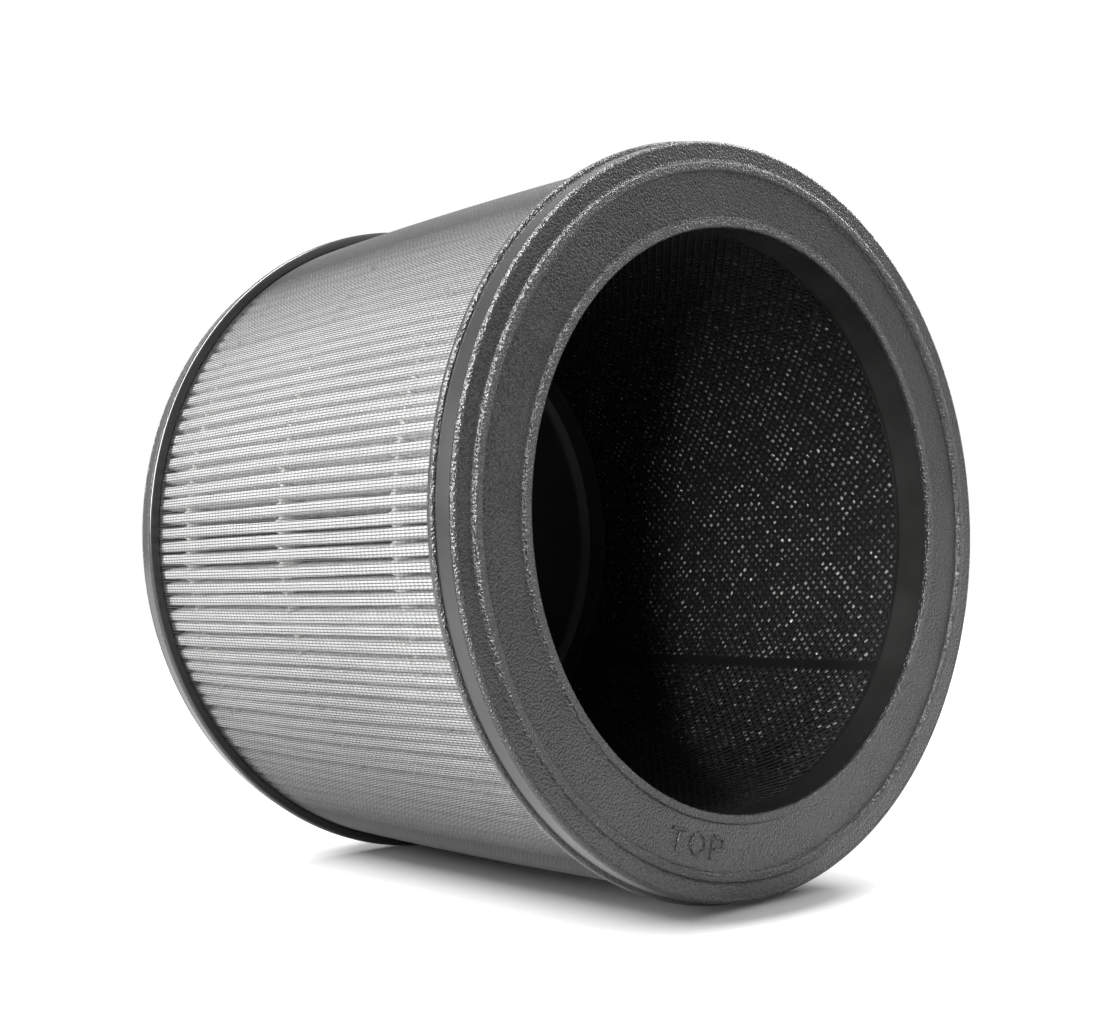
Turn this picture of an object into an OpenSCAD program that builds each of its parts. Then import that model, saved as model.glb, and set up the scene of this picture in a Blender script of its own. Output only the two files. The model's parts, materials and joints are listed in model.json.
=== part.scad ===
// Round air purifier filter. It stands on its closed end cap, with +Z along its axis
// and the open end up. Air enters through the net sleeve, passes the pleated sheet and
// the carbon bed, and leaves through the mouth in the top cap. All sizes in millimetres.

/* [Overall] */
// Height over both end caps
height = 132; // [90:1:240]
// Diameter over the lips of the end caps
lip_d = 175; // [168:0.5:210]
// Diameter of the mouth in the top cap
mouth_d = 133.4; // [100:0.2:138]

/* [End caps] */
// How far the lip stands out from the shoulder
lip_out = 1.1; // [0.6:0.1:2]
// Height of the lip band
lip_h = 1.8; // [1:0.1:3]
// Rounding of the lip's edges
lip_round = 0.6; // [0.2:0.05:0.7]
// Depth of the cap from its shoulder to the lip's edge
skirt_depth = 7.2; // [6:0.1:12]
// Thickness of the skirt at the shoulder
skirt_wall = 1.2; // [0.8:0.1:1.6]
// Thickness of the cap's ring plate
plate_t = 1.6; // [1.2:0.1:2.4]
// Rounding of the shoulder's corner
corner_round = 0.8; // [0.3:0.1:1.2]
// Width of the flat shoulder outside the ridge
shoulder_w = 4.6; // [2:0.1:6]
// Width of the raised ridge
ridge_w = 2.3; // [1.8:0.1:4]
// Height of the raised ridge
ridge_h = 0.9; // [0.7:0.1:1.4]
// Width of the raised rim round the mouth
rim_w = 2.2; // [1.6:0.1:4]
// Height of the raised rim round the mouth
rim_h = 0.7; // [0.6:0.1:1.2]
// Rounding of the ridge and the rim
edge_round = 0.5; // [0.2:0.1:0.6]

/* [Collar and spigot] */
// Wall of the collar that hangs from the mouth
collar_wall = 1.5; // [1:0.1:2.5]
// Depth of the collar's full bore below the shoulder
collar_depth = 8.6; // [6:0.1:14]
// Height of the relieved foot at the collar's end
foot_h = 1.8; // [1:0.1:3]
// Relief of the collar's foot
foot_relief = 0.4; // [0.2:0.1:0.8]
// Height of the bottom cap's spigot above its plate
spigot_h = 6; // [3:0.5:12]
// Depth of the shallow dish in the bottom cap
dish_depth = 1.2; // [0.6:0.1:2.5]
// Draft of the dish's wall, the spigot's inner wall and the collar's foot
wall_draft = 0.4; // [0.2:0.1:0.5]

/* [Potting] */
// Thickness of the potting compound in each cap
potting_t = 3; // [2:0.1:3.5]

/* [Pleated sheet] */
// Number of pleats
pleats = 150; // [80:1:160]
// Thickness of the filter sheet
sheet_t = 0.45; // [0.3:0.05:0.6]
// Width of each outer fold
fold_w = 2.2; // [1.2:0.1:2.4]
// Width of each inner fold
inner_fold_w = 0.9; // [0.6:0.1:1.2]

/* [Spacer beads] */
// Number of bead rings on each side of the sheet
beads = 3; // [3:1:3]
// Distance between bead rings
bead_pitch = 44; // [10:1:46]
// Height of the middle bead ring above the middle of the sheet
bead_mid_z = -3.4; // [-10:0.1:10]
// Width of a bead ring
bead_w = 2; // [1.2:0.1:4]
// How deep a bead reaches into the gaps between the pleats
bead_depth = 9.5; // [1:0.1:10]
// How far a bead stands out over the folds
bead_proud = 0.25; // [0.15:0.05:0.3]

/* [Net sleeve] */
// Thickness of the outer net sleeve
sleeve_t = 0.4; // [0.3:0.05:0.8]
// Gap between the sleeve and the skirts of the caps
sleeve_gap = 0.3; // [0.1:0.05:0.6]
// Gap between the sleeve and the beads
sleeve_bead_gap = 0.15; // [0.1:0.05:0.6]
// Openings round the sleeve
sleeve_columns = 20; // [12:1:20]
// Rows of openings along the sleeve
sleeve_rows = 6; // [3:1:6]
// Width of the sleeve's ribs
sleeve_rib_w = 2.4; // [1.5:0.1:5]
// Height of the hoops that stand out on the sleeve
hoop_h = 0.2; // [0.1:0.05:0.25]

/* [Carbon tube] */
// Gap between the collar and the inner net
net_gap = 0.2; // [0.1:0.05:0.5]
// Thickness of the inner net
net_t = 0.6; // [0.4:0.05:1]
// Diamond openings round the inner net
net_columns = 24; // [16:2:24]
// Rows of diamond openings along the inner net
net_rows = 5; // [3:1:5]
// Width of the strands between the diamonds
net_strand_w = 2.2; // [1.5:0.1:4]
// Width of the net's overlapped seam
seam_w = 5; // [3:0.5:8]
// Thickness of the carbon bed
carbon_t = 2.4; // [1.5:0.1:4]
// Thickness of the cloth behind the carbon bed
backing_t = 0.4; // [0.3:0.05:0.8]
// Gap between the wrapped layers
layer_gap = 0.1; // [0.05:0.05:0.3]

/* [Hidden] */
$fn = 180;

// Levels of the caps, the potting and the layers between them
top_shoulder_z = height - ridge_h;
bottom_shoulder_z = ridge_h;
media_top_z = top_shoulder_z - plate_t - potting_t;
media_bottom_z = bottom_shoulder_z + plate_t + potting_t;
media_h = media_top_z - media_bottom_z;
collar_end = collar_depth + foot_h;

// Radii from the mouth outwards
mouth_r = mouth_d / 2;
collar_r = mouth_r + collar_wall;
net_in_r = collar_r + net_gap;
net_out_r = net_in_r + net_t;
carbon_in_r = net_out_r + layer_gap;
carbon_out_r = carbon_in_r + carbon_t;
backing_in_r = carbon_out_r + layer_gap;
backing_out_r = backing_in_r + backing_t;
inner_bead_in_r = backing_out_r + layer_gap;
inner_bead_out_r = inner_bead_in_r + bead_proud;
pleat_in_r = inner_bead_out_r + layer_gap / 2;

// Radii from the lip inwards
lip_r = lip_d / 2;
shoulder_r = lip_r - lip_out;
tray_r = shoulder_r - skirt_wall;
sleeve_out_r = tray_r - sleeve_gap;
sleeve_in_r = sleeve_out_r - sleeve_t;
outer_bead_r = sleeve_in_r - sleeve_bead_gap;
pleat_out_r = outer_bead_r - bead_proud;
ridge_out_r = shoulder_r - shoulder_w;
ridge_in_r = ridge_out_r - ridge_w;
rim_out_r = mouth_r + rim_w;

// Shallow slope at the foot of the ridge and the rim
foot_slope = 0.2;
// Drop of the shoulder from the ridge to its corner
shoulder_drop = 0.1;
// Outward lean of the skirt between the corner and the lip
skirt_lean = 0.3;
// Least flat that the lip's rounding leaves beside it
least_flat = 0.05;
lip_edge = min(lip_round, lip_h / 2 - least_flat, lip_out - skirt_lean - least_flat);
// Overlap of a cutting tool past the face it cuts
cut = 1;
// Place of the inner net's seam, turned from +X towards +Y
seam_angle = 57;
pleat_angle = 360 / pleats;
net_angle = 360 / net_columns;
sleeve_angle = 360 / sleeve_columns;

cap_colour = [0.16, 0.16, 0.165];
potting_colour = [0.10, 0.10, 0.10];
sheet_colour = [0.86, 0.86, 0.84];
bead_colour = [0.90, 0.89, 0.84];
net_colour = [0.09, 0.09, 0.09];
carbon_colour = [0.05, 0.05, 0.05];

// Points along an arc from angle a0 to angle a1
function arc(x, y, r, a0, a1, n = 5) =
    [for (i = [0:n]) let (a = a0 + (a1 - a0) * i / n) [x + r * cos(a), y + r * sin(a)]];

// Point at radius r and angle a, moved w along the circle's tangent
function at(r, w, a) = [r * cos(a) - w * sin(a), r * sin(a) + w * cos(a)];

// A raised band with rounded edges, from its inner foot to its outer foot
function raised_band(r_in, r_out, h) = concat(
    arc(r_in + edge_round, h - edge_round, edge_round, 180, 90),
    arc(r_out - foot_slope - edge_round, h - edge_round, edge_round, 90, 0),
    [[r_out, 0]]
);

// Outer face of both caps, from the mouth's edge to the lip's lower edge.
// Height 0 is the shoulder, and positive is outwards.
function cap_face() = concat(
    raised_band(mouth_r, rim_out_r, rim_h),
    [[ridge_in_r - foot_slope, 0]],
    raised_band(ridge_in_r, ridge_out_r, ridge_h),
    arc(shoulder_r - corner_round, -shoulder_drop - corner_round, corner_round, 90, 0),
    [[shoulder_r + skirt_lean, -skirt_depth + lip_h + lip_out - skirt_lean - lip_edge]],
    arc(lip_r - lip_edge, -skirt_depth + lip_h - lip_edge, lip_edge, 90, 0),
    arc(lip_r - lip_edge, -skirt_depth + lip_edge, lip_edge, 0, -90)
);

// Potting tray under the ring plate, from the skirt to the collar
function cap_tray() = [
    [tray_r, -skirt_depth],
    [tray_r, -plate_t],
    [collar_r, -plate_t]
];

module top_cap() {
    color(cap_colour)
    translate([0, 0, top_shoulder_z])
    rotate_extrude()
    polygon(concat(
        [[mouth_r + foot_relief + wall_draft, -collar_end],
         [mouth_r + foot_relief, -collar_depth - foot_relief],
         [mouth_r, -collar_depth]],
        cap_face(),
        cap_tray(),
        [[collar_r, -collar_end]]
    ));
}

module bottom_cap() {
    color(cap_colour)
    translate([0, 0, bottom_shoulder_z])
    mirror([0, 0, 1])
    rotate_extrude()
    polygon(concat(
        [[0, -dish_depth], [mouth_r - wall_draft, -dish_depth]],
        cap_face(),
        cap_tray(),
        [[collar_r, -plate_t - spigot_h], [mouth_r, -plate_t - spigot_h],
         [mouth_r - wall_draft, -dish_depth - plate_t], [0, -dish_depth - plate_t]]
    ));
}

// A tube between two radii, standing on level z
module tube(r_in, r_out, z, h) {
    translate([0, 0, z])
    difference() {
        cylinder(r = r_out, h = h);
        translate([0, 0, -cut]) cylinder(r = r_in, h = h + 2 * cut);
    }
}

module top_potting() {
    color(potting_colour) tube(collar_r, tray_r, media_top_z, potting_t);
}

module bottom_potting() {
    color(potting_colour) tube(collar_r, tray_r, media_bottom_z - potting_t, potting_t);
}

// The folded sheet's outer side: a flat fold at each tip and a sharp valley between
module sheet_outside() {
    polygon([for (i = [0:pleats - 1]) let (a = i * pleat_angle)
        each [at(pleat_out_r, -fold_w / 2, a), at(pleat_out_r, fold_w / 2, a),
              at(pleat_in_r + 1.5 * sheet_t, 0, a + pleat_angle / 2)]]);
}

// The folded sheet's inner side
module sheet_inside() {
    polygon([for (i = [0:pleats - 1]) let (a = i * pleat_angle, v = a + pleat_angle / 2)
        each [at(pleat_out_r - sheet_t, -fold_w / 2 + sheet_t, a),
              at(pleat_out_r - sheet_t, fold_w / 2 - sheet_t, a),
              at(pleat_in_r, -inner_fold_w / 2, v), at(pleat_in_r, inner_fold_w / 2, v)]]);
}

module pleat_pack() {
    color(sheet_colour)
    translate([0, 0, media_bottom_z])
    linear_extrude(height = media_h)
    difference() {
        sheet_outside();
        sheet_inside();
    }
}

// Base level of bead ring i, counted from the bottom
function bead_z(i) =
    (media_bottom_z + media_top_z - bead_w) / 2 + bead_mid_z + (i - (beads + 1) / 2) * bead_pitch;

// A melted thread that crosses the outer folds and plugs the gaps between them
module outer_bead(i) {
    color(bead_colour)
    translate([0, 0, bead_z(i)])
    linear_extrude(height = bead_w)
    difference() {
        circle(r = outer_bead_r);
        circle(r = pleat_out_r - bead_depth, $fn = pleats);
        sheet_outside();
    }
}

// A melted thread that crosses the inner folds
module inner_bead(i) {
    color(bead_colour) tube(inner_bead_in_r, inner_bead_out_r, bead_z(i), bead_w);
}

// Fine net drawn over the pleats: a thin wall with openings, ribs and hoops
module sleeve_net() {
    row_h = media_h / sleeve_rows;
    opening_w = sleeve_out_r * sin(sleeve_angle / 2) * 2 - sleeve_rib_w;
    color(net_colour)
    union() {
        difference() {
            tube(sleeve_in_r, sleeve_out_r, media_bottom_z, media_h);
            for (c = [0:sleeve_columns - 1], r = [0:sleeve_rows - 1])
                rotate([0, 0, (c + 0.5) * sleeve_angle])
                translate([sleeve_in_r - 2 * cut - hoop_h, -opening_w / 2,
                           media_bottom_z + r * row_h + sleeve_rib_w / 2])
                cube([sleeve_t + 4 * cut + hoop_h, opening_w, row_h - sleeve_rib_w]);
        }
        for (r = [1:sleeve_rows - 1])
            tube(sleeve_out_r - sleeve_t / 2, sleeve_out_r + hoop_h,
                 media_bottom_z + r * row_h - sleeve_rib_w / 4, sleeve_rib_w / 2);
    }
}

// Diamond net that holds the granules, wrapped to a tube with an overlapped seam
module inner_net() {
    row_h = (media_h - 2 * net_strand_w) / net_rows;
    diamond_w = net_out_r * sin(net_angle / 2) * 2 - net_strand_w / 2;
    diamond_h = row_h - net_strand_w / 2;
    color(net_colour)
    union() {
        difference() {
            tube(net_in_r, net_out_r, media_bottom_z, media_h);
            for (c = [0:net_columns - 1], r = [0:net_rows - 1])
                rotate([0, 0, seam_angle + (c + (r % 2 == 0 ? 0.5 : 1)) * net_angle])
                translate([net_in_r - 2 * cut, 0, media_bottom_z + net_strand_w + (r + 0.5) * row_h])
                rotate([90, 0, 90])
                linear_extrude(height = net_t + 4 * cut)
                polygon([[-diamond_w / 2, 0], [0, -diamond_h / 2], [diamond_w / 2, 0], [0, diamond_h / 2]]);
        }
        net_seam();
    }
}

// Overlap of the wrapped net, between the spigot and the collar
module net_seam() {
    seam_bottom_z = bottom_shoulder_z + plate_t + spigot_h + layer_gap;
    seam_top_z = top_shoulder_z - collar_end - layer_gap;
    seam_span = seam_w / net_in_r * 180 / PI;
    rotate([0, 0, seam_angle - seam_span / 2])
    translate([0, 0, seam_bottom_z])
    rotate_extrude(angle = seam_span)
    translate([net_in_r - net_t / 2, 0])
    square([net_t, seam_top_z - seam_bottom_z]);
}

module carbon_bed() {
    color(carbon_colour) tube(carbon_in_r, carbon_out_r, media_bottom_z, media_h);
}

module carbon_backing() {
    color(sheet_colour) tube(backing_in_r, backing_out_r, media_bottom_z, media_h);
}

top_cap();
bottom_cap();
top_potting();
bottom_potting();
pleat_pack();
outer_bead(1);  // outer_bead_1
outer_bead(2);  // outer_bead_2
outer_bead(3);  // outer_bead_3
inner_bead(1);  // inner_bead_1
inner_bead(2);  // inner_bead_2
inner_bead(3);  // inner_bead_3
sleeve_net();
inner_net();
carbon_bed();
carbon_backing();
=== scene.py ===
"""A round air purifier filter: pleated sheet, net sleeve, carbon tube and two moulded caps.

The filter stands on its closed cap with +Z along its axis. The camera is rolled, so that
the filter shows as it lies on a white table. Sizes of pieces here are in millimetres, and
MM turns them into metres. Inside materials, bump heights are in metres and the scales of
noise are per metre.
"""
import json
import math
import random

import bpy
import numpy as np
from mathutils import Matrix, Vector

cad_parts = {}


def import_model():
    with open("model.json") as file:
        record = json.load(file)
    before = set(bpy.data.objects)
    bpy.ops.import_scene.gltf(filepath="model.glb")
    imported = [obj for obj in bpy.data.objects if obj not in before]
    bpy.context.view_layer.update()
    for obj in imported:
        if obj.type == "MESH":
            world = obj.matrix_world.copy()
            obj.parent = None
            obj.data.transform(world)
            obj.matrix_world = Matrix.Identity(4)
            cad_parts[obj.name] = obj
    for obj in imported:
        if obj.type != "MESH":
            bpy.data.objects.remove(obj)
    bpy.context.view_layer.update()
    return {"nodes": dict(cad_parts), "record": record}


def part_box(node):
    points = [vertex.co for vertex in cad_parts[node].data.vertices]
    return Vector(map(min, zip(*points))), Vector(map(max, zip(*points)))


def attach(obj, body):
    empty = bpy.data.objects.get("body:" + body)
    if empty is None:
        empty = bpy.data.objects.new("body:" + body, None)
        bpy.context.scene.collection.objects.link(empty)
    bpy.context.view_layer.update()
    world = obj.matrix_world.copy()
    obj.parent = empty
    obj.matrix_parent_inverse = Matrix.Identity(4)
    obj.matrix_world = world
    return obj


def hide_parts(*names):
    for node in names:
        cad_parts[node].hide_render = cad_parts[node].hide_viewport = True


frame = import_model()

MM = 0.001
TAU = 2 * math.pi


def node_radius(node):
    """Outer radius of a node, in millimetres."""
    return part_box(node)[1][0] / MM


def node_levels(node):
    """Lowest and highest level of a node, in millimetres."""
    low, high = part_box(node)
    return low[2] / MM, high[2] / MM


# Levels and radii that come from the frame
MEDIA_LOW, MEDIA_HIGH = node_levels("pleat_pack")
CAP_LOW, TOP_LEVEL = node_levels("bottom_cap")[0], node_levels("top_cap")[1]
LIP_R = round(node_radius("top_cap"), 1)
FOLD_R = round(node_radius("pleat_pack"), 1)
BEAD_R = round(node_radius("outer_bead_1"), 2)
CARBON_OUT_R = round(node_radius("carbon_bed"), 1)

# The caps' own sizes, as in the part's source
RIDGE_H = 0.9
RIM_H = 0.7
LIP_OUT = 1.1
LIP_H = 1.8
LIP_ROUND = 0.6
SKIRT_DEPTH = 7.2
SKIRT_WALL = 1.2
PLATE_T = 1.6
CORNER_ROUND = 0.8
SHOULDER_W = 4.6
SHOULDER_DROP = 0.1
SKIRT_LEAN = 0.3
RIDGE_W = 2.3
RIM_W = 2.2
EDGE_ROUND = 0.5
FOOT_SLOPE = 0.2
MOUTH_R = 66.7
COLLAR_WALL = 1.5
COLLAR_DEPTH = 8.6
FOOT_H = 1.8
FOOT_RELIEF = 0.4
SPIGOT_H = 6.0
DISH_DEPTH = 1.2
WALL_DRAFT = 0.4

# The mouth's rim is a little crisper outside than the ridge
RIM_ROUND = 0.3

SHOULDER_R = LIP_R - LIP_OUT
TRAY_R = SHOULDER_R - SKIRT_WALL
COLLAR_R = MOUTH_R + COLLAR_WALL
RIDGE_OUT_R = SHOULDER_R - SHOULDER_W
RIDGE_IN_R = RIDGE_OUT_R - RIDGE_W
RIM_OUT_R = MOUTH_R + RIM_W
TOP_SHOULDER = TOP_LEVEL - RIDGE_H
BOTTOM_SHOULDER = CAP_LOW + RIDGE_H

# The layers between the caps, and how far the middle of their outside bulges
NET_IN_R = 68.4
NET_T = 0.6
CARBON_IN_R = 69.1
PLEAT_IN_R = 72.4
SLEEVE_R = 84.7
PLEATS = 150
SHEET_T = 0.45
FOLD_W = 2.2
INNER_FOLD_W = 0.9
BEAD_DEPTH = 9.5
BULGE = 0.8
SEAM_ANGLE = 57
SEAM_W = 5.0


def arc(x, y, r, a0, a1, n=8):
    """Points along an arc, from angle a0 to angle a1 in degrees."""
    turns = [math.radians(a0 + (a1 - a0) * i / n) for i in range(n + 1)]
    return [(x + r * math.cos(a), y + r * math.sin(a)) for a in turns]


def bulge(z):
    """How far the pleats and the sleeve stand out between the caps at level z."""
    t = (z - MEDIA_LOW) / (MEDIA_HIGH - MEDIA_LOW)
    return BULGE * (1 - (2 * t - 1) ** 2)


def new_object(name, verts, faces, smooth=True, sharp_angle=None):
    """A mesh object from points in millimetres."""
    mesh = bpy.data.meshes.new(name)
    mesh.from_pydata((np.asarray(verts) * MM).tolist(), [], faces)
    mesh.polygons.foreach_set("use_smooth", [smooth] * len(mesh.polygons))
    if sharp_angle is not None:
        mesh.set_sharp_from_angle(angle=math.radians(sharp_angle))
    obj = bpy.data.objects.new(name, mesh)
    bpy.context.scene.collection.objects.link(obj)
    return obj


def grid_faces(rows, columns, close_rows=False, close_columns=False, start=0):
    """Quads between the points of a grid, which may close on itself either way."""
    faces = []
    for i in range(rows if close_rows else rows - 1):
        for j in range(columns if close_columns else columns - 1):
            k, m = (i + 1) % rows, (j + 1) % columns
            faces.append((start + i * columns + j, start + i * columns + m,
                          start + k * columns + m, start + k * columns + j))
    return faces


def dress(obj, slot, material, *nodes):
    """Gives a new piece its material, hangs it on the root and hides the nodes that it stands
    for. The slot is not used.
    """
    obj.data.materials.append(material)
    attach(obj, "root")
    if nodes:
        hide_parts(*nodes)
    return obj


class Nodes:
    """Short calls that build a material's node tree."""

    def __init__(self, name):
        self.material = bpy.data.materials.new(name)
        self.material.use_nodes = True
        self.tree = self.material.node_tree
        self.shader = self.tree.nodes["Principled BSDF"]
        self.output = self.tree.nodes["Material Output"]

    def add(self, kind, **values):
        """A new node, with values for its settings or its inputs."""
        node = self.tree.nodes.new(kind)
        for key, value in values.items():
            if hasattr(node, key):
                setattr(node, key, value)
            else:
                node.inputs[key.replace("_", " ").title()].default_value = value
        return node

    def link(self, source, target):
        self.tree.links.new(source, target)

    def place(self):
        """A point's own place on the object, so that a pattern stays on it in every view."""
        return self.add("ShaderNodeTexCoord").outputs["Object"]

    def noise(self, scale, detail=2.0, rough=0.5, vector=None):
        node = self.add("ShaderNodeTexNoise", scale=scale, detail=detail, roughness=rough)
        self.link(vector or self.place(), node.inputs["Vector"])
        return node.outputs["Fac"]

    def ramp(self, value, low, high, out_low, out_high):
        """A value between low and high as one between out_low and out_high."""
        node = self.add("ShaderNodeMapRange")
        for key, number in (("From Min", low), ("From Max", high),
                            ("To Min", out_low), ("To Max", out_high)):
            node.inputs[key].default_value = number
        self.link(value, node.inputs["Value"])
        return node.outputs["Result"]

    def math(self, operation, a, b):
        node = self.add("ShaderNodeMath", operation=operation)
        for socket, value in zip(node.inputs, (a, b)):
            if isinstance(value, (int, float)):
                socket.default_value = value
            else:
                self.link(value, socket)
        return node.outputs["Value"]

    def mix(self, factor, a, b):
        node = self.add("ShaderNodeMix", data_type="RGBA")
        self.link(factor, node.inputs["Factor"])
        node.inputs["A"].default_value = (*a, 1)
        node.inputs["B"].default_value = (*b, 1)
        return node.outputs["Result"]

    def bump(self, height, distance, strength=1.0, normal=None):
        """A normal that is bent by a height, on top of another one if there is one."""
        node = self.add("ShaderNodeBump")
        node.inputs["Strength"].default_value = strength
        node.inputs["Distance"].default_value = distance
        self.link(height, node.inputs["Height"])
        if normal:
            self.link(normal, node.inputs["Normal"])
        return node.outputs["Normal"]


def cap_plastic():
    """Charcoal moulded plastic: leather grain where the grain attribute says so."""
    m = Nodes("cap_plastic")
    grain = m.add("ShaderNodeAttribute", attribute_name="grain").outputs["Fac"]
    warp = m.add("ShaderNodeTexNoise", scale=1500.0, detail=2.0)
    m.link(m.place(), warp.inputs["Vector"])
    shift = m.add("ShaderNodeVectorMath", operation="MULTIPLY_ADD")
    m.link(warp.outputs["Color"], shift.inputs[0])
    shift.inputs[1].default_value = (0.0005, 0.0005, 0.0005)
    m.link(m.place(), shift.inputs[2])
    cells = m.add("ShaderNodeTexVoronoi", feature="SMOOTH_F1", scale=1900.0)
    cells.inputs["Smoothness"].default_value = 0.6
    m.link(shift.outputs["Vector"], cells.inputs["Vector"])
    pebbles = m.ramp(cells.outputs["Distance"], 0.1, 0.75, 1.0, 0.0)
    fine = m.noise(4200.0, detail=3.0, rough=0.6)
    height = m.math("MULTIPLY", m.math("ADD", pebbles, m.math("MULTIPLY", fine, 0.35)), grain)
    waves = m.noise(160.0, detail=2.0)
    soft = m.bump(waves, 0.00006, 0.5)
    m.link(m.bump(height, 0.0003, 1.0, soft), m.shader.inputs["Normal"])
    tint = m.mix(m.ramp(m.noise(70.0, detail=3.0), 0.35, 0.65, 0.0, 1.0),
                 (0.022, 0.022, 0.021), (0.032, 0.032, 0.031))
    m.link(tint, m.shader.inputs["Base Color"])
    gloss = m.ramp(grain, 0.0, 1.0, 0.2, 0.3)
    m.link(m.math("ADD", gloss, m.ramp(fine, 0.3, 0.7, -0.03, 0.05)),
           m.shader.inputs["Roughness"])
    return m.material


def potting():
    """Black compound, with slow waves and a satin skin."""
    m = Nodes("potting")
    m.link(m.mix(m.noise(120.0), (0.03, 0.03, 0.03), (0.05, 0.05, 0.05)),
           m.shader.inputs["Base Color"])
    m.link(m.bump(m.noise(300.0, detail=3.0), 0.0003, 0.6), m.shader.inputs["Normal"])
    m.link(m.ramp(m.noise(500.0), 0.3, 0.7, 0.35, 0.5), m.shader.inputs["Roughness"])
    return m.material


def filter_sheet():
    """White fibrous sheet: fine fibres in the bump and a faint mottle in the colour."""
    m = Nodes("filter_sheet")
    stretch = m.add("ShaderNodeMapping")
    stretch.inputs["Scale"].default_value = (1.0, 1.0, 0.25)
    m.link(m.place(), stretch.inputs["Vector"])
    fibres = m.noise(5200.0, detail=4.0, rough=0.65, vector=stretch.outputs["Vector"])
    m.link(m.bump(fibres, 0.0001, 0.6), m.shader.inputs["Normal"])
    mottle = m.ramp(m.noise(260.0, detail=4.0), 0.35, 0.65, 0.0, 1.0)
    m.link(m.mix(mottle, (0.86, 0.86, 0.85), (0.92, 0.92, 0.91)), m.shader.inputs["Base Color"])
    m.shader.inputs["Roughness"].default_value = 0.9
    m.shader.inputs["Subsurface Weight"].default_value = 1.0
    m.shader.inputs["Subsurface Radius"].default_value = (1, 1, 1)
    m.shader.inputs["Subsurface Scale"].default_value = 0.0005
    return m.material


def glue_bead():
    """Hot-melt thread: off-white, satin and slightly uneven."""
    m = Nodes("glue_bead")
    m.link(m.mix(m.noise(400.0), (0.56, 0.56, 0.55), (0.64, 0.64, 0.62)),
           m.shader.inputs["Base Color"])
    m.link(m.bump(m.noise(700.0), 0.0002, 0.5), m.shader.inputs["Normal"])
    m.shader.inputs["Roughness"].default_value = 0.45
    return m.material


def sleeve_thread():
    """Black net thread, with a painted sheen: a little lighter in spots, standing in for light
    caught by the twist.
    """
    m = Nodes("sleeve_thread")
    twist = m.noise(3000.0, detail=2.0)
    # Painted sheen: the twist noise lightens the colour a little in spots along the thread.
    m.link(m.mix(m.ramp(twist, 0.3, 0.7, 0.0, 1.0), (0.02, 0.02, 0.021), (0.05, 0.05, 0.052)),
           m.shader.inputs["Base Color"])
    m.link(m.bump(twist, 0.00005, 0.5), m.shader.inputs["Normal"])
    m.shader.inputs["Roughness"].default_value = 0.55
    m.shader.inputs["Sheen Weight"].default_value = 0.15
    m.shader.inputs["Sheen Roughness"].default_value = 0.4
    return m.material


def inner_net_plastic():
    """Black extruded net, satin, with a drawn surface."""
    m = Nodes("inner_net")
    m.link(m.mix(m.noise(900.0), (0.004, 0.004, 0.004), (0.010, 0.010, 0.010)),
           m.shader.inputs["Base Color"])
    m.link(m.bump(m.noise(2500.0), 0.0001, 0.5), m.shader.inputs["Normal"])
    m.link(m.ramp(m.noise(1500.0), 0.3, 0.7, 0.5, 0.7), m.shader.inputs["Roughness"])
    m.shader.inputs["Specular IOR Level"].default_value = 0.12
    return m.material


def carbon():
    """Activated carbon: black, with facets from dull to glinting. Each granule's colour is lifted
    from black towards grey by its painted glint, which stands in for light caught on its facets.
    """
    m = Nodes("carbon")
    patches = m.noise(1100.0, detail=3.0, rough=0.6)
    painted_glint = m.add("ShaderNodeAttribute", attribute_name="painted_glint").outputs["Fac"]
    # Painted glint: the granule's grey, varied by patches, stands in for light caught on its
    # facets.
    painted_glint_level = m.math("MULTIPLY", painted_glint, m.ramp(patches, 0.35, 0.65, 0.5, 1.0))
    m.link(m.mix(painted_glint_level, (0.03, 0.03, 0.028), (0.6, 0.6, 0.57)), m.shader.inputs["Base Color"])
    m.link(m.bump(m.noise(3500.0, detail=4.0, rough=0.65), 0.0002, 0.7),
           m.shader.inputs["Normal"])
    m.link(m.ramp(patches, 0.3, 0.7, 0.4, 0.2), m.shader.inputs["Roughness"])
    m.shader.inputs["Specular IOR Level"].default_value = 0.8
    return m.material


def backing_cloth():
    """Thin spun cloth: pale, matt, with a web of fibres."""
    m = Nodes("backing_cloth")
    web = m.noise(2600.0, detail=5.0, rough=0.7)
    m.link(m.mix(web, (0.66, 0.66, 0.64), (0.78, 0.78, 0.76)), m.shader.inputs["Base Color"])
    m.link(m.bump(web, 0.0002, 0.7), m.shader.inputs["Normal"])
    m.shader.inputs["Roughness"].default_value = 0.95
    return m.material


# The caps

FACE_GRAIN = 0.35
SLOPE_GRAIN = 1.0
SMOOTH = 0.0
CAP_STEPS = 480


def grained(points, grain):
    """Marks each profile point with how strong the leather grain is there."""
    return [(r, z, grain) for r, z in points]


def raised_band(r_in, r_out, h, outer_round):
    """A raised band with rounded edges and a sloped outer foot."""
    inner = arc(r_in + EDGE_ROUND, h - EDGE_ROUND, EDGE_ROUND, 180, 90)
    outer = arc(r_out - FOOT_SLOPE - outer_round, h - outer_round, outer_round, 90, 0)
    return grained(inner + outer + [(r_out, 0)], SLOPE_GRAIN)


def run(r0, r1, z0, z1, n, grain):
    """Points strictly between two places, which share one grain."""
    return [(r0 + (r1 - r0) * i / n, z0 + (z1 - z0) * i / n, grain) for i in range(1, n)]


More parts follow.
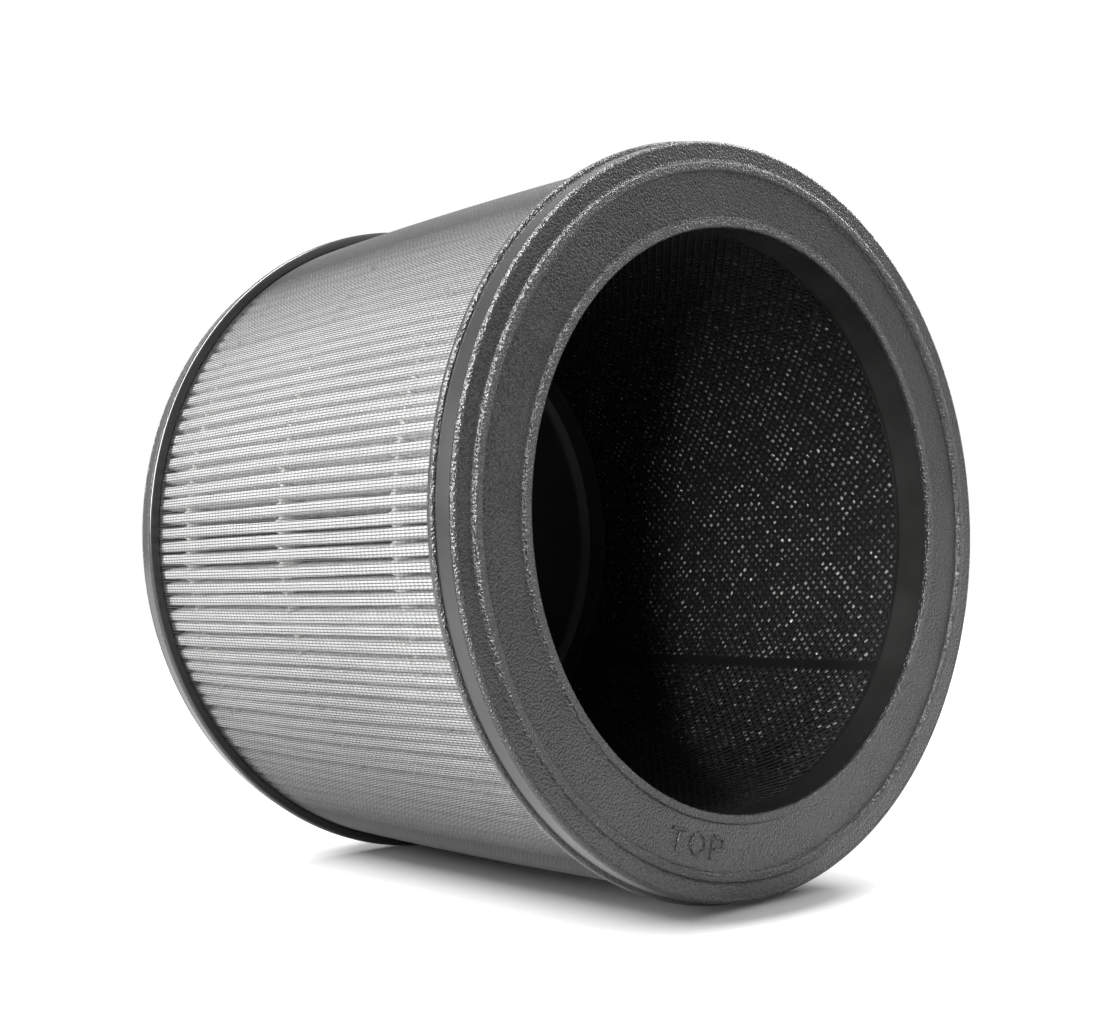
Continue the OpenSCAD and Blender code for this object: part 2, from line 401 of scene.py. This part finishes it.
def cap_face():
    """Outer face of both caps, from the mouth's edge to the lip's lower edge."""
    ridge_foot = RIDGE_IN_R - FOOT_SLOPE
    skirt_foot = (SHOULDER_R + SKIRT_LEAN,
                  -SKIRT_DEPTH + LIP_H + LIP_OUT - SKIRT_LEAN - LIP_ROUND)
    corner = arc(SHOULDER_R - CORNER_ROUND, -SHOULDER_DROP - CORNER_ROUND, CORNER_ROUND, 90, 0)
    lip_top = arc(LIP_R - LIP_ROUND, -SKIRT_DEPTH + LIP_H - LIP_ROUND, LIP_ROUND, 90, 0)
    lip_under = arc(LIP_R - LIP_ROUND, -SKIRT_DEPTH + LIP_ROUND, LIP_ROUND, 0, -90)
    return (raised_band(MOUTH_R, RIM_OUT_R, RIM_H, RIM_ROUND)
            + run(RIM_OUT_R, ridge_foot, 0, 0, 24, FACE_GRAIN)
            + grained([(ridge_foot, 0)], SLOPE_GRAIN)
            + raised_band(RIDGE_IN_R, RIDGE_OUT_R, RIDGE_H, EDGE_ROUND)
            + run(RIDGE_OUT_R, SHOULDER_R - CORNER_ROUND, 0, -SHOULDER_DROP, 8, FACE_GRAIN)
            + grained(corner, SLOPE_GRAIN)
            + run(SHOULDER_R, skirt_foot[0], corner[-1][1], skirt_foot[1], 12, SMOOTH)
            + grained([skirt_foot], SMOOTH)
            + grained(lip_top, SLOPE_GRAIN)
            + grained(lip_under, SMOOTH))


def cap_tray():
    """Potting tray under the ring plate, from the skirt to the collar."""
    return grained([(TRAY_R, -SKIRT_DEPTH), (TRAY_R, -PLATE_T), (COLLAR_R, -PLATE_T)], SMOOTH)


def top_cap_profile():
    """Closed outline of the open cap, with height 0 at its shoulder."""
    collar_end = COLLAR_DEPTH + FOOT_H
    foot = [(MOUTH_R + FOOT_RELIEF + WALL_DRAFT, -collar_end),
            (MOUTH_R + FOOT_RELIEF, -COLLAR_DEPTH - FOOT_RELIEF), (MOUTH_R, -COLLAR_DEPTH)]
    return (grained(foot, SMOOTH)
            + run(MOUTH_R, MOUTH_R, -COLLAR_DEPTH, RIM_H - EDGE_ROUND, 6, SMOOTH)
            + cap_face() + cap_tray() + grained([(COLLAR_R, -collar_end)], SMOOTH))


def bottom_cap_profile():
    """Outline of the closed cap, from its centre outside to its centre inside."""
    floor = -DISH_DEPTH - PLATE_T
    outside = [(0, -DISH_DEPTH), (MOUTH_R - WALL_DRAFT, -DISH_DEPTH)]
    inside = [(COLLAR_R, -PLATE_T - SPIGOT_H), (MOUTH_R, -PLATE_T - SPIGOT_H),
              (MOUTH_R - WALL_DRAFT, floor), (0, floor)]
    return (grained(outside, FACE_GRAIN) + cap_face() + cap_tray() + grained(inside, SMOOTH))


def lathe(name, profile, level, flip=False):
    """Turns a profile of (radius, height, grain) round the axis, closed on itself or at
    the axis. With flip, its heights run down from the level."""
    at_axis = profile[0][0] == 0
    turns = np.linspace(0, TAU, CAP_STEPS, endpoint=False)
    side = -1 if flip else 1
    rings = [p for p in profile if p[0] > 0]
    verts = [(r * math.cos(a), r * math.sin(a), level + side * z)
             for r, z, _ in rings for a in turns]
    grain = [g for _, _, g in rings for _ in turns]
    faces = grid_faces(len(rings), CAP_STEPS, close_rows=not at_axis, close_columns=True)
    if at_axis:
        for end, ring in ((profile[0], 0), (profile[-1], len(rings) - 1)):
            hub = len(verts)
            verts.append((0, 0, level + side * end[1]))
            grain.append(end[2])
            start = ring * CAP_STEPS
            for j in range(CAP_STEPS):
                pair = (start + j, start + (j + 1) % CAP_STEPS)
                faces.append((hub, *pair) if ring else (hub, *pair[::-1]))
    if not flip:
        faces = [f[::-1] for f in faces]
    obj = new_object(name, verts, faces, sharp_angle=40)
    layer = obj.data.attributes.new("grain", "FLOAT", "POINT")
    layer.data.foreach_set("value", grain)
    return obj


# Raised word on the mouth's ring, which marks the open end

WORD_R = 74.0
WORD_ANGLE = -16.5
LETTER_H = 5.6
LETTER_W = 4.4
LETTER_GAP = 1.9
STROKE = 0.95
LETTER_RISE = 0.35
LETTER_SINK = 0.05
LETTER_BEVEL = 0.12


def stroke_path(points, closed=False):
    """Left and right edges of a line of letter, as two lists of points."""
    pts = [Vector(p) for p in points]
    count = len(pts)
    left, right = [], []
    for i, p in enumerate(pts):
        before = pts[(i - 1) % count] if closed or i else p
        after = pts[(i + 1) % count] if closed or i < count - 1 else p
        way = (after - before).normalized()
        side = Vector((-way.y, way.x)) * STROKE / 2
        left.append(p + side)
        right.append(p - side)
    return left, right


def letter_strokes():
    """Centre lines of the three letters, each round its own middle."""
    w, h = LETTER_W / 2, LETTER_H / 2
    bowl = 0.56 * LETTER_H
    half_bowl = bowl / 2 - STROKE / 4
    return [
        [([(-w, h - STROKE / 2), (w, h - STROKE / 2)], False),
         ([(0, h - STROKE), (0, -h)], False)],
        [([(w * math.cos(a), (h - STROKE / 2) * math.sin(a))
           for a in np.linspace(0, TAU, 40, endpoint=False)], True)],
        [([(-w + STROKE / 2, -h), (-w + STROKE / 2, h - STROKE / 2)], False),
         ([(-w + STROKE / 2, h - STROKE / 2), (0, h - STROKE / 2)]
          + arc(w * 0.25, h - STROKE / 2 - half_bowl, half_bowl, 90, -90, 16)
          + [(0, h - STROKE / 2 - 2 * half_bowl),
             (-w + STROKE / 2, h - STROKE / 2 - 2 * half_bowl)], False)],
    ]


def raised_word():
    """The letters as raised strokes that stand on the mouth's ring."""
    verts, faces = [], []
    low, high = TOP_SHOULDER - LETTER_SINK, TOP_SHOULDER + LETTER_RISE
    mid = math.radians(WORD_ANGLE)
    outward = Vector((math.cos(mid), math.sin(mid)))
    along = Vector((-outward.y, outward.x))
    for index, letter in enumerate(letter_strokes()):
        shift = (index - 1) * (LETTER_W + LETTER_GAP)
        for points, closed in letter:
            left, right = stroke_path(points, closed)
            start = len(verts)
            for a, b in zip(left, right):
                inset = (b - a).normalized() * LETTER_BEVEL
                for corner, level in ((a, low), (a + inset, high), (b - inset, high), (b, low)):
                    flat = outward * (WORD_R - corner.y) + along * (corner.x + shift)
                    verts.append((flat.x, flat.y, level))
            rows = len(left)
            faces += grid_faces(rows, 4, close_rows=closed, start=start)
            if not closed:
                last = start + (rows - 1) * 4
                faces += [(start, start + 1, start + 2, start + 3),
                          (last + 3, last + 2, last + 1, last)]
    word = new_object("raised_word", verts, faces, smooth=False)
    layer = word.data.attributes.new("grain", "FLOAT", "POINT")
    layer.data.foreach_set("value", [SLOPE_GRAIN] * len(verts))
    return word


# The pleated sheet and its beads

PLEAT_RINGS = 25
FOLD_ROUND = 0.32
FOLD_CROWN = 1.1
FOLD_EASE = 0.04
FOLD_DIP = 0.06
FOLD_JITTER = 0.22
TURN_JITTER = 0.28
WAVE = 0.16
BEAD_SAGS = ((-0.25, 0.3), (0.0, 0.1), (0.25, 0.3), (0.5, 1.6))
BEAD_SINK = 0.15
BEAD_FLANK = 3.5


def pleat_shapes(rng):
    """Each pleat's own small turn, reach and wave."""
    return [(rng.uniform(-1, 1) * math.radians(TURN_JITTER), -abs(rng.gauss(0, FOLD_JITTER)),
             rng.uniform(0, TAU), rng.uniform(0.7, 1.3)) for _ in range(PLEATS)]


def sheet_ring(shapes, z):
    """Outer then inner line of the folded sheet at level z. Each fold's points are given by
    radius, distance to the side of the fold's middle, and the middle's angle."""
    outside, inside = [], []
    step = TAU / PLEATS
    swell = bulge(z)
    for i, (turn, reach, phase, rate) in enumerate(shapes):
        a = i * step + turn + WAVE / FOLD_R * math.sin(phase + rate * z / 14)
        tip = FOLD_R + swell + reach
        half, soft = FOLD_W / 2, FOLD_ROUND
        valley = (i + 0.5) * step
        for w, r in ((-half, tip - FOLD_CROWN), (-half + FOLD_EASE, tip - soft),
                     (-half + soft, tip - FOLD_DIP), (0, tip), (half - soft, tip - FOLD_DIP),
                     (half - FOLD_EASE, tip - soft), (half, tip - FOLD_CROWN)):
            outside.append((r, w, a))
        outside.append((PLEAT_IN_R + 1.5 * SHEET_T, 0, valley))
        for w, r in ((-half + SHEET_T, tip - SHEET_T - soft), (0, tip - SHEET_T),
                     (half - SHEET_T, tip - SHEET_T - soft)):
            inside.append((r, w, a))
        inside.append((PLEAT_IN_R, -INNER_FOLD_W / 2, valley))
        inside.append((PLEAT_IN_R, INNER_FOLD_W / 2, valley))
    flat = []
    for line in (outside, inside):
        flat.append([(r * math.cos(a) - w * math.sin(a), r * math.sin(a) + w * math.cos(a), z)
                     for r, w, a in line])
    return flat


def pleated_sheet(shapes):
    """The folded sheet between the two pottings."""
    levels = np.linspace(MEDIA_LOW, MEDIA_HIGH, PLEAT_RINGS)
    rings = [sheet_ring(shapes, z) for z in levels]
    count_out, count_in = len(rings[0][0]), len(rings[0][1])
    verts = [p for ring in rings for p in ring[0]]
    faces = grid_faces(PLEAT_RINGS, count_out, close_columns=True)
    start = len(verts)
    verts += [p for ring in rings for p in ring[1]]
    faces += [f[::-1] for f in grid_faces(PLEAT_RINGS, count_in, close_columns=True, start=start)]
    return new_object("pleated_sheet", verts, faces, sharp_angle=60)


def outer_bead(index, shapes, rng):
    """A melted thread that lies over the folds and fills the gaps between them. BEAD_SAGS
    gives places between one fold and the next, with how far the thread sags there."""
    low, high = node_levels(f"outer_bead_{index}")
    z = (low + high) / 2
    proud = BEAD_R - FOLD_R
    step = TAU / PLEATS
    verts = []
    for i, (turn, reach, _, _) in enumerate(shapes):
        for part, sag in BEAD_SAGS:
            a = (i + part) * step + turn
            top = FOLD_R + bulge(z) + reach + proud - BEAD_SINK - sag - rng.uniform(0, 0.05)
            width = (high - low) / 2 * rng.uniform(0.85, 1.1)
            for dr, dz in ((-BEAD_DEPTH + sag, -0.75), (-0.6, -1.0), (-0.15, -0.75), (0, -0.3),
                           (0, 0.3), (-0.15, 0.75), (-0.6, 1.0),
                           (-BEAD_DEPTH + sag, BEAD_FLANK)):
                r = top + dr
                verts.append((r * math.cos(a), r * math.sin(a), z + dz * width))
    faces = grid_faces(len(verts) // 8, 8, close_rows=True, close_columns=True)
    return new_object(f"outer_glue_bead_{index}", verts, faces)


# The net sleeve

AXIAL_THREADS = 800
AXIAL_R = 0.11
AXIAL_RINGS = 13
THREAD_SIDES = 3
CROSS_PITCH = 1.44
CROSS_W = 0.18


def sleeve_radius(z):
    """Radius of the sleeve's wall, which follows the pleats."""
    return SLEEVE_R + bulge(z)


def axial_threads():
    """Threads that run from cap to cap."""
    verts, faces = [], []
    levels = np.linspace(MEDIA_LOW, MEDIA_HIGH, AXIAL_RINGS)
    for i in range(AXIAL_THREADS):
        a = TAU * i / AXIAL_THREADS
        radial, tangent = (math.cos(a), math.sin(a)), (-math.sin(a), math.cos(a))
        start = len(verts)
        for z in levels:
            for k in range(THREAD_SIDES):
                b = TAU * k / THREAD_SIDES
                out, side = AXIAL_R * math.cos(b), AXIAL_R * math.sin(b)
                r = sleeve_radius(z) + out
                verts.append((r * radial[0] + side * tangent[0],
                              r * radial[1] + side * tangent[1], z))
        faces += grid_faces(AXIAL_RINGS, THREAD_SIDES, close_columns=True, start=start)
    faces = [f[::-1] for f in faces]
    return new_object("sleeve_axial_threads", verts, faces)


def cross_threads():
    """Flat threads that zigzag round the sleeve and tie each axial one to its neighbours,
    so that the knots on one thread stand between the knots on the next."""
    verts, faces = [], []
    count = round((MEDIA_HIGH - MEDIA_LOW) / CROSS_PITCH)
    pitch = (MEDIA_HIGH - MEDIA_LOW) / count
    for i in range(1, count):
        start = len(verts)
        for j in range(AXIAL_THREADS):
            a = TAU * j / AXIAL_THREADS
            z = MEDIA_LOW + (i + (0.25 if j % 2 else -0.25)) * pitch
            r = sleeve_radius(z) + AXIAL_R
            for edge in (CROSS_W / 2, -CROSS_W / 2):
                verts.append((r * math.cos(a), r * math.sin(a), z + edge))
        faces += [f[::-1] for f in grid_faces(AXIAL_THREADS, 2, close_rows=True, start=start)]
    return new_object("sleeve_cross_threads", verts, faces)


# The carbon tube

STRANDS = 160
STRAND_SLANT = 45
STRAND_R = 0.27
STRAND_W = 0.72
STRAND_RINGS = 26
SEAM_BAND = SEAM_W / 2
SEAM_RINGS = 60
SEAM_SWAY = 0.12
GRANULES = 16000
GRANULE_SIZE = (0.75, 1.25)
GRANULE_GROW = (0.7, 1.15)
GRANULE_SINK = 0.5
STRAY = 0.3
GRANULE_LAYER = 1.3
PAINTED_GLINT_CURVE = 1.8


def helix_strands(name, slant, radius):
    """One family of the diamond net's strands."""
    verts, faces = [], []
    height = MEDIA_HIGH - MEDIA_LOW
    twist = height * math.tan(math.radians(slant)) / radius
    for i in range(STRANDS):
        start = len(verts)
        for j in range(STRAND_RINGS):
            t = j / (STRAND_RINGS - 1)
            a = TAU * i / STRANDS + twist * t
            z = MEDIA_LOW + height * t
            for k in range(4):
                b = TAU * (k + 0.5) / 4
                out, side = STRAND_R * math.cos(b), STRAND_W * math.sin(b)
                verts.append(((radius + out) * math.cos(a) - side * math.sin(a),
                              (radius + out) * math.sin(a) + side * math.cos(a), z))
        faces += grid_faces(STRAND_RINGS, 4, close_columns=True, start=start)
    return new_object(name, verts, faces)


def net_seam():
    """The lap where the wrapped net's two edges meet: a narrow flat band with a slight sway."""
    low, high = BOTTOM_SHOULDER + PLATE_T + SPIGOT_H, TOP_SHOULDER - COLLAR_DEPTH - FOOT_H
    half_w = SEAM_BAND / 2
    mid = math.radians(SEAM_ANGLE)
    verts = []
    for z in np.linspace(low, high, SEAM_RINGS):
        sway = SEAM_SWAY / NET_IN_R * math.sin(z * 1.3)
        for dr, w in ((-0.05, -half_w), (-0.05, half_w), (0.3, half_w), (0.3, -half_w)):
            a = mid + sway + w / NET_IN_R
            r = NET_IN_R + dr
            verts.append((r * math.cos(a), r * math.sin(a), z))
    faces = grid_faces(SEAM_RINGS, 4, close_columns=True)
    return new_object("inner_net_seam", verts, faces, sharp_angle=30)


def carbon_granules(rng):
    """Faceted granules packed against the net, as seen through its openings."""
    corners = [Vector(p) for p in ((1, 0, 0), (-1, 0, 0), (0, 1, 0), (0, -1, 0),
                                   (0, 0, 1), (0, 0, -1))]
    sides = [(0, 2, 4), (2, 1, 4), (1, 3, 4), (3, 0, 4),
             (2, 0, 5), (1, 2, 5), (3, 1, 5), (0, 3, 5)]
    area = TAU * CARBON_IN_R * (MEDIA_HIGH - MEDIA_LOW)
    pitch = math.sqrt(area / GRANULES)
    columns = round(TAU * CARBON_IN_R / pitch)
    rows = GRANULES // columns
    verts, faces, painted_glint = [], [], []
    for i in range(rows):
        for j in range(columns):
            size = rng.uniform(*GRANULE_SIZE)
            turn = Matrix.Rotation(rng.uniform(0, TAU), 3, "X") @ Matrix.Rotation(
                rng.uniform(0, TAU), 3, "Z")
            a = TAU * (j + 0.5 * (i % 2) + rng.uniform(-STRAY, STRAY)) / columns
            t = (i + 0.5 + rng.uniform(-STRAY, STRAY)) / rows
            z = MEDIA_LOW + t * (MEDIA_HIGH - MEDIA_LOW)
            r = CARBON_IN_R + size * 0.75 + rng.uniform(0, GRANULE_SINK)
            centre = Vector((r * math.cos(a), r * math.sin(a), z))
            start = len(verts)
            for c in corners:
                grow = size * rng.uniform(*GRANULE_GROW)
                p = centre + turn @ c * grow
                verts.append(p[:])
            # Each granule's painted glint, from none to full: most get little, a few a lot.
            painted_glint += [rng.random() ** PAINTED_GLINT_CURVE] * len(corners)
            faces += [tuple(start + k for k in side) for side in sides]
    obj = new_object("carbon_granules", verts, faces, smooth=False)
    layer = obj.data.attributes.new("painted_glint", "FLOAT", "POINT")
    layer.data.foreach_set("value", painted_glint)
    return obj


def carbon_base():
    """Dark tube of the bed behind its front granules, between the pottings."""
    r_in, r_out = CARBON_IN_R + GRANULE_LAYER, CARBON_OUT_R
    profile = [(r_in, MEDIA_LOW, 0), (r_in, MEDIA_HIGH, 0), (r_out, MEDIA_HIGH, 0),
               (r_out, MEDIA_LOW, 0)]
    return lathe("carbon_body", profile, 0)


# Building the object

def build():
    rng = random.Random(41)
    plastic = cap_plastic()
    dress(lathe("top_cap_moulding", top_cap_profile(), TOP_SHOULDER), "cap_plastic", plastic,
          "top_cap")
    dress(lathe("bottom_cap_moulding", bottom_cap_profile(), BOTTOM_SHOULDER, flip=True),
          "cap_plastic", plastic, "bottom_cap")
    dress(raised_word(), "cap_plastic", plastic)
    shapes = pleat_shapes(rng)
    dress(pleated_sheet(shapes), "filter_sheet", filter_sheet(), "pleat_pack")
    glue = glue_bead()
    for index in (1, 2, 3):
        dress(outer_bead(index, shapes, rng), "glue_bead", glue, f"outer_bead_{index}")
    thread = sleeve_thread()
    dress(axial_threads(), "sleeve_thread", thread, "sleeve_net")
    dress(cross_threads(), "sleeve_thread", thread)
    net = inner_net_plastic()
    dress(helix_strands("inner_net_left", STRAND_SLANT, NET_IN_R + STRAND_R * 0.8),
          "inner_net", net, "inner_net")
    dress(helix_strands("inner_net_right", -STRAND_SLANT, NET_IN_R + NET_T - STRAND_R),
          "inner_net", net)
    dress(net_seam(), "inner_net", net)
    coal = carbon()
    dress(carbon_granules(rng), "carbon", coal, "carbon_bed")
    dress(carbon_base(), "carbon", coal)
    finishes = {"potting": potting(), "glue_bead": glue, "backing_cloth": backing_cloth()}
    for part in frame["record"]["subparts"]:
        material = finishes.get(part["material_slot"])
        if material:
            mesh = frame["nodes"][part["node"]].data
            mesh.materials.clear()
            mesh.materials.append(material)


# Camera, surroundings and lamps

AXIS_TURN = 41.023
AXIS_TILT = -2.363
CAMERA_PLACE = (9.5, -272.8, 372.95)
LENS = 51.99


def camera():
    """The photograph's view: the filter's axis is turned and tilted from the line of sight."""
    turn, tilt = math.radians(AXIS_TURN), math.radians(AXIS_TILT)
    row_z = Vector((math.sin(turn) * math.cos(tilt), math.sin(tilt),
                    -math.cos(turn) * math.cos(tilt)))
    row_y = row_z.cross(Vector((0, 1, 0))).normalized()
    row_x = -row_z.cross(row_y)
    right, down, forward = (Vector((row_x[i], row_y[i], row_z[i])) for i in range(3))
    data = bpy.data.cameras.new("camera")
    data.lens = LENS
    data.clip_start = 0.01
    cam = bpy.data.objects.new("camera", data)
    bpy.context.scene.collection.objects.link(cam)
    spin = Matrix((right, -down, -forward)).transposed().to_4x4()
    cam.matrix_world = Matrix.Translation(Vector(CAMERA_PLACE) * MM) @ spin
    bpy.context.scene.camera = cam


CARD_SIZE = (700, 1100)
CARD_FAR = 900
CARD_RISE = 68
TABLE_SIZE = 3000
TABLE_WHITE = 0.65
TABLE_LIFT = 0.9
TABLE_GLOSS = 1.6
LIFT_FROM = 22
LIFT_TO = 52
END_FALL = 3


def table():
    """The white table that the filter lies on: it touches both lips on the +X side. Rays from
    the camera and reflections see it lifted to white by a glow that fades out near the filter,
    so it keeps its shadow there and the fade paints more shade beside it. Past the filter's
    ends that falls off END_FALL times as fast. From behind the table is clear."""
    half = TABLE_SIZE / 2
    verts = [(LIP_R, -half, -half), (LIP_R, half, -half), (LIP_R, half, half),
             (LIP_R, -half, half)]
    obj = new_object("table", verts, [(0, 3, 2, 1)], smooth=False)
    m = Nodes("table")
    m.shader.inputs["Base Color"].default_value = (TABLE_WHITE, TABLE_WHITE, TABLE_WHITE, 1)
    m.shader.inputs["Roughness"].default_value = 0.8
    back = m.add("ShaderNodeNewGeometry").outputs["Backfacing"]
    clear = m.add("ShaderNodeBsdfTransparent")
    mix = m.add("ShaderNodeMixShader")
    glow = m.add("ShaderNodeEmission")
    ray = m.add("ShaderNodeLightPath").outputs
    mirrored = m.math("ADD", ray["Is Glossy Ray"], ray["Is Transmission Ray"])
    # Reflections see the glow TABLE_GLOSS times as strong, which brightens the table's reflection
    # in the caps.
    seen = m.math("ADD", ray["Is Camera Ray"], m.math("MULTIPLY", mirrored, TABLE_GLOSS))
    place = m.add("ShaderNodeSeparateXYZ")
    m.link(m.place(), place.inputs["Vector"])
    aside = m.math("ABSOLUTE", place.outputs["Y"], 0)
    middle = TOP_LEVEL / 2
    along = m.math("ABSOLUTE", m.math("SUBTRACT", place.outputs["Z"], middle * MM), 0)
    past = m.math("MAXIMUM", m.math("SUBTRACT", along, middle * MM), 0)
    beyond = m.math("MULTIPLY", past, END_FALL)
    away = m.math("SQRT", m.math("ADD", m.math("MULTIPLY", aside, aside),
                                 m.math("MULTIPLY", beyond, beyond)), 0)
    # Painted shade: the glow grows with distance from the filter, so the table darkens towards
    # the filter by place, on top of its rendered shadow.
    lift = m.ramp(away, LIFT_FROM * MM, LIFT_TO * MM, 0, TABLE_LIFT)
    m.link(m.math("MULTIPLY", seen, lift), glow.inputs["Strength"])
    lifted = m.add("ShaderNodeAddShader")
    m.link(m.shader.outputs["BSDF"], lifted.inputs[0])
    m.link(glow.outputs["Emission"], lifted.inputs[1])
    m.link(back, mix.inputs["Fac"])
    m.link(lifted.outputs["Shader"], mix.inputs[1])
    m.link(clear.outputs["BSDF"], mix.inputs[2])
    m.link(mix.outputs["Shader"], m.output.inputs["Surface"])
    obj.data.materials.append(m.material)


WORLD_LIGHT = 0.1


def world():
    """White surroundings for the camera and for reflections, and softer light for the rest."""
    sky = bpy.data.worlds.new("surroundings")
    bpy.context.scene.world = sky
    sky.use_nodes = True
    tree = sky.node_tree
    ray = tree.nodes.new("ShaderNodeLightPath")
    seen = tree.nodes.new("ShaderNodeMath")
    seen.operation = "ADD"
    tree.links.new(ray.outputs["Is Camera Ray"], seen.inputs[0])
    more = tree.nodes.new("ShaderNodeMath")
    more.operation = "ADD"
    tree.links.new(ray.outputs["Is Glossy Ray"], more.inputs[0])
    tree.links.new(ray.outputs["Is Transmission Ray"], more.inputs[1])
    tree.links.new(more.outputs["Value"], seen.inputs[1])
    strength = tree.nodes.new("ShaderNodeMapRange")
    strength.inputs["To Min"].default_value = WORLD_LIGHT
    strength.inputs["To Max"].default_value = 1.0
    tree.links.new(seen.outputs["Value"], strength.inputs["Value"])
    background = tree.nodes["Background"]
    background.inputs["Color"].default_value = (1, 1, 1, 1)
    tree.links.new(strength.outputs["Result"], background.inputs["Strength"])


def new_lamp(name, kind, power):
    """A lamp of a kind and strength, and its settings."""
    data = bpy.data.lights.new(name, kind)
    data.energy = power
    lamp = bpy.data.objects.new(name, data)
    bpy.context.scene.collection.objects.link(lamp)
    lamp.rotation_mode = "QUATERNION"
    return lamp, data


def area_lamp(name, place, size, power):
    """A square lamp at a place and of a size in millimetres."""
    lamp, data = new_lamp(name, "AREA", power)
    data.size = size * MM
    lamp.location = Vector(place) * MM
    lamp.visible_camera = False
    return lamp


def spot_lamp(name, place, size, power, cone):
    """A soft-edged spot of a size in millimetres, with a cone angle in degrees."""
    lamp, data = new_lamp(name, "SPOT", power)
    data.spot_size = math.radians(cone)
    data.spot_blend = 0.8
    data.shadow_soft_size = size * MM
    lamp.location = Vector(place) * MM
    lamp.visible_camera = False
    return lamp


def aim_lamp(lamp, target):
    """Turns a lamp towards a point in millimetres."""
    lamp.rotation_quaternion = (Vector(target) * MM - lamp.location).to_track_quat("-Z", "Y")


def dark_card():
    """A black card beyond the mouth, which keeps its face and its inside dark."""
    half_w, half_h = CARD_SIZE[0] / 2, CARD_SIZE[1] / 2
    obj = new_object("dark_card", [(-half_w, -half_h, 0), (half_w, -half_h, 0),
                                   (half_w, half_h, 0), (-half_w, half_h, 0)],
                     [(0, 1, 2, 3)], smooth=False)
    m = Nodes("dark_card")
    m.shader.inputs["Base Color"].default_value = (0.01, 0.01, 0.01, 1)
    m.shader.inputs["Roughness"].default_value = 1.0
    obj.data.materials.append(m.material)
    rise = math.radians(CARD_RISE)
    way = Vector((0, math.cos(rise), math.sin(rise)))
    obj.location = (Vector((0, 0, TOP_LEVEL)) + way * CARD_FAR) * MM
    obj.rotation_euler = (rise - math.radians(90), 0, 0)
    obj.visible_camera = False


STRIP_FAR = 900
STRIP_LIGHT = 45.0
STRIP_FROM, STRIP_TO = -185, -97
STRIP_LOW, STRIP_HIGH = -60, 300
STRIP_STEPS = 40


def strip_light():
    """A bright strip round one side of the filter, which only shows as gloss on its edges."""
    verts = [(STRIP_FAR * math.cos(a), STRIP_FAR * math.sin(a), z)
             for a in np.radians(np.linspace(STRIP_FROM, STRIP_TO, STRIP_STEPS))
             for z in (STRIP_LOW, STRIP_HIGH)]
    obj = new_object("strip_light", verts, grid_faces(STRIP_STEPS, 2), smooth=False)
    m = Nodes("strip_light")
    glow = m.add("ShaderNodeEmission", strength=STRIP_LIGHT)
    m.link(glow.outputs["Emission"], m.output.inputs["Surface"])
    obj.data.materials.append(m.material)
    for kind in ("camera", "diffuse", "transmission", "volume_scatter", "shadow"):
        setattr(obj, f"visible_{kind}", False)


def sun_lamp(name, way, strength, spread):
    """Even light that comes from the given direction, softened over an angle in degrees."""
    lamp, data = new_lamp(name, "SUN", strength)
    data.angle = math.radians(spread)
    lamp.rotation_quaternion = Vector(way).to_track_quat("Z", "Y")


KEY_PLACE = (-60, -238, 60)
KEY_SIZE, KEY_POWER = 120, 0.4
FRONT_WAY, FRONT_LIGHT, FRONT_SPREAD = (-0.06, -0.91, 0.4), 0.4, 35
RIGHT_WAY, RIGHT_LIGHT, RIGHT_SPREAD = (-0.6, 0.45, 0.6), 0.8, 50
BACK_WAY, BACK_LIGHT, BACK_SPREAD = (-0.5, 0.85, -0.12), 2.2, 25
MOUTH_LAMP_PLACE, MOUTH_LAMP_TARGET = (-10, -420, 425), (18, 63, 102)
MOUTH_LAMP_SIZE, MOUTH_LAMP_POWER, MOUTH_LAMP_CONE = 60, 26, 13


def lamps():
    """A near key for the sleeve, a spot into the mouth and soft light from the other sides."""
    key = area_lamp("key_light", KEY_PLACE, KEY_SIZE, KEY_POWER)
    aim_lamp(key, (0, -SLEEVE_R, TOP_LEVEL / 2))
    sun_lamp("front_light", FRONT_WAY, FRONT_LIGHT, FRONT_SPREAD)
    sun_lamp("right_light", RIGHT_WAY, RIGHT_LIGHT, RIGHT_SPREAD)
    sun_lamp("back_light", BACK_WAY, BACK_LIGHT, BACK_SPREAD)
    mouth = spot_lamp("mouth_light", MOUTH_LAMP_PLACE, MOUTH_LAMP_SIZE, MOUTH_LAMP_POWER,
                      MOUTH_LAMP_CONE)
    aim_lamp(mouth, MOUTH_LAMP_TARGET)


build()
camera()
table()
dark_card()
strip_light()
world()
lamps()
bpy.context.scene.view_settings.view_transform = "Standard"
